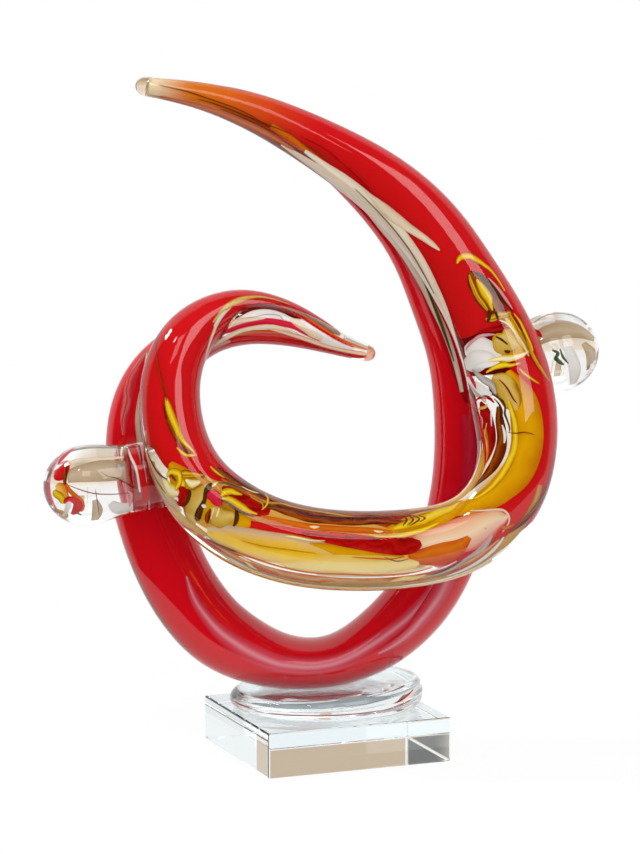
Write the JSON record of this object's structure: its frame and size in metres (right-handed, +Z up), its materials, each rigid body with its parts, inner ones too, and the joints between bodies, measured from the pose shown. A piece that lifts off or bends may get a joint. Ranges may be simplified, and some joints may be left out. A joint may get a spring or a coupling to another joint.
{
  "type": "glass sculpture",
  "caption": "Free-standing decorative sculpture of cased glass strands that spiral round an open middle, with clear side knobs, a clear foot and a square clear block.",
  "frame": {"origin": "centre of the block's underside", "axes": "+Z up; +X to the right and +Y to the back as the sculpture is seen from its front. The block is turned about +Z against these axes."},
  "size_m": [0.3123, 0.1395, 0.384],
  "materials": {
    "clear_glass": "fire-polished, the block ground and polished",
    "casing_glass": "fire-polished clear casing over the colour",
    "red_glass": "saturated red, sealed under the casing",
    "amber_glass": "transparent amber, sealed under the casing",
    "adhesive": "clear cured adhesive film"
  },
  "bodies": {
    "root": {"base_block": "clear_glass", "glue_film": "adhesive", "foot_pad": "clear_glass", "rear_strand_casing": "casing_glass", "rear_strand_red_core": "red_glass", "front_strand_casing": "casing_glass", "front_strand_red_core": "red_glass", "front_strand_amber_core": "amber_glass", "upper_tip": "clear_glass", "hook_tip": "clear_glass", "left_knob": "clear_glass", "right_knob": "clear_glass"}
  },
  "joints": []
}
